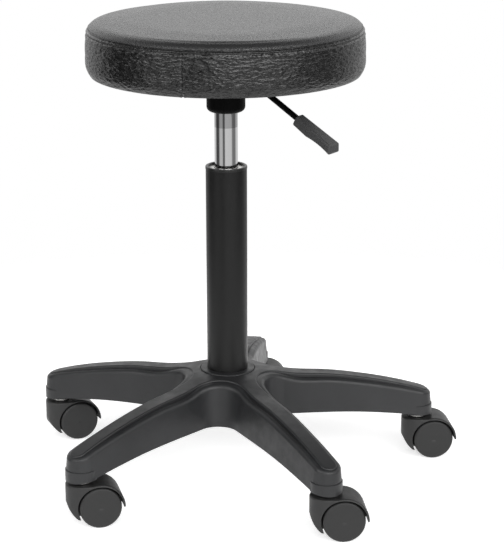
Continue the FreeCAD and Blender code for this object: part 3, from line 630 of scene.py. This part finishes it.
def make_stitches(cushion):
    """Two rows of thread beside the seams under the top edge, and two beside the join of the side band."""
    mesh = cushion.data
    tree = BVHTree.FromPolygons([v.co for v in mesh.vertices], [p.vertices for p in mesh.polygons])
    parts = []
    count = round(2 * math.pi * SEAT_RADIUS / STITCH_PITCH)
    for down in (UPPER_SEAM - 2.0 * MM, LOWER_SEAM):
        for i in range(count):
            point, normal, direction = surface_at(tree, 360 * i / count, SEAT_TOP - down)
            along = Vector((-direction.y, direction.x, 0))
            parts.append(stitch_mesh(point, along, normal, STITCH, THREAD_RADIUS))
    heights = np.arange(SEAT_BOTTOM + 9 * MM, SEAT_TOP - LOWER_SEAM - 2 * MM, STITCH_PITCH)
    for side in (-1, 1):
        for height in heights:
            degrees = JOIN_DEG + side * math.degrees(2.3 * MM / SEAT_RADIUS)
            point, normal, direction = surface_at(tree, degrees, float(height))
            along = Vector((-direction.y, direction.x, 0)).cross(normal).normalized()
            parts.append(stitch_mesh(point, along, normal, STITCH, THREAD_RADIUS))
    stitches = joined("seat_stitches", parts, THREAD)
    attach(stitches, "seat")


# ---------------------------------------------------------------- studio
def make_floor():
    """Pale disc that fades out into the white surround."""
    disc = bmesh.new()
    bmesh.ops.create_circle(disc, cap_ends=True, segments=128, radius=1.5)
    mesh = bpy.data.meshes.new("floor")
    disc.to_mesh(mesh)
    disc.free()
    floor = bpy.data.objects.new("floor", mesh)
    SCENE.collection.objects.link(floor)
    made = bpy.data.materials.new("floor_white")
    made.use_nodes = True
    tree = made.node_tree
    tree.nodes.clear()
    where = place(tree)
    distance = add(tree, "ShaderNodeVectorMath", {0: where}, operation="LENGTH").outputs["Value"]
    fade = rescaled(tree, distance, 0.0, 1.0, 0.55, 1.0)
    speckle = tones(tree, grain(tree, where, 40), (0.90, 0.90, 0.90), (0.94, 0.94, 0.94))
    diffuse = add(tree, "ShaderNodeBsdfDiffuse", {"Color": speckle}).outputs[0]
    glow = add(tree, "ShaderNodeEmission", {"Color": (1, 1, 1, 1), "Strength": FLOOR_GLOW}).outputs[0]
    lit = add(tree, "ShaderNodeAddShader", {0: diffuse, 1: glow}).outputs[0]
    clear = add(tree, "ShaderNodeBsdfTransparent").outputs[0]
    mixed = add(tree, "ShaderNodeMixShader", {0: fade, 1: lit, 2: clear}).outputs[0]
    add(tree, "ShaderNodeOutputMaterial", {"Surface": mixed})
    mesh.materials.append(made)


FLOOR_GLOW = 0.52

# Brightness of the studio round the stool: azimuth in degrees from the front, towards the right.
ROUND_BANDS = [(-180, 1.0), (-120, 0.95), (-110, 0.10), (-76, 0.10), (-64, 0.75), (-37, 0.75), (-29, 0.16),
               (-15, 0.18), (-8, 0.95), (54, 0.90), (67, 0.28), (102, 0.28), (114, 0.95), (180, 1.0)]
FRONT_HEIGHTS = [(-90, 0.6), (-6, 0.6), (6, 2.0), (23, 2.2), (27, 6.5), (37, 6.5), (43, 0.9),
                 (56, 0.4), (90, 0.35)]
BACK_HEIGHTS = [(-90, 0.6), (-3, 0.6), (8, 1.0), (30, 1.25), (42, 0.5), (54, 0.15), (90, 0.15)]
BRIGHTEST = 6.5


def make_world():
    """White to the eye; to the surfaces, a ring of softboxes with dark gaps between them."""
    world = bpy.data.worlds.new("studio")
    SCENE.world = world
    world.use_nodes = True
    tree = world.node_tree
    tree.nodes.clear()
    direction = add(tree, "ShaderNodeTexCoord").outputs["Generated"]
    split = add(tree, "ShaderNodeSeparateXYZ", {0: direction})
    x, y, z = split.outputs[0], split.outputs[1], split.outputs[2]
    azimuth = math_node(tree, "ARCTAN2", x, math_node(tree, "MULTIPLY", y, -1.0))
    turn = rescaled(tree, azimuth, 0, 1, -math.pi, math.pi)
    bands = ramp(tree, turn, [((a + 180) / 360, g) for a, g in ROUND_BANDS])
    height = rescaled(tree, math_node(tree, "ARCSINE", z), 0, 1, -math.pi / 2, math.pi / 2)
    front = ramp(tree, height, [((e + 90) / 180, g / BRIGHTEST) for e, g in FRONT_HEIGHTS])
    back = ramp(tree, height, [((e + 90) / 180, g / BRIGHTEST) for e, g in BACK_HEIGHTS])
    behind = rescaled(tree, y, 0.0, 1.0, -0.2, 0.4)
    heights = add(tree, "ShaderNodeMix", {"Factor": behind}, data_type="RGBA")
    tree.links.new(front, heights.inputs[6])
    tree.links.new(back, heights.inputs[7])
    overhead = rescaled(tree, math_node(tree, "ABSOLUTE", z), 0.0, 1.0, 0.55, 0.85)
    bands = add(tree, "ShaderNodeMix", {"Factor": overhead, 2: bands}, data_type="FLOAT")
    bands.inputs[3].default_value = 0.8
    level = math_node(tree, "MULTIPLY", heights.outputs[2], bands.outputs[0])
    seen = add(tree, "ShaderNodeLightPath").outputs["Is Camera Ray"]
    studio = add(tree, "ShaderNodeBackground", {"Color": level, "Strength": BRIGHTEST}).outputs[0]
    white = add(tree, "ShaderNodeBackground", {"Color": (1, 1, 1, 1), "Strength": 1.0}).outputs[0]
    mixed = add(tree, "ShaderNodeMixShader", {0: seen, 1: studio, 2: white}).outputs[0]
    add(tree, "ShaderNodeOutputWorld", {"Surface": mixed})


def make_camera():
    camera = bpy.data.objects.new("camera", bpy.data.cameras.new("camera"))
    SCENE.collection.objects.link(camera)
    camera.location = CAMERA_PLACE
    pitch = Matrix.Rotation(math.radians(CAMERA_PITCH_DEG), 3, "X")
    roll = Matrix.Rotation(math.radians(CAMERA_ROLL_DEG), 3, "Z")
    camera.rotation_euler = (pitch @ roll).to_euler()
    camera.data.lens = CAMERA_LENS
    camera.data.sensor_width = SENSOR
    SCENE.camera = camera


# ---------------------------------------------------------------- the whole scene
bpy.context.scene.view_settings.view_transform = "Standard"
make_camera()
make_world()
make_floor()
dress_cad_nodes()
make_stitches(make_cushion())
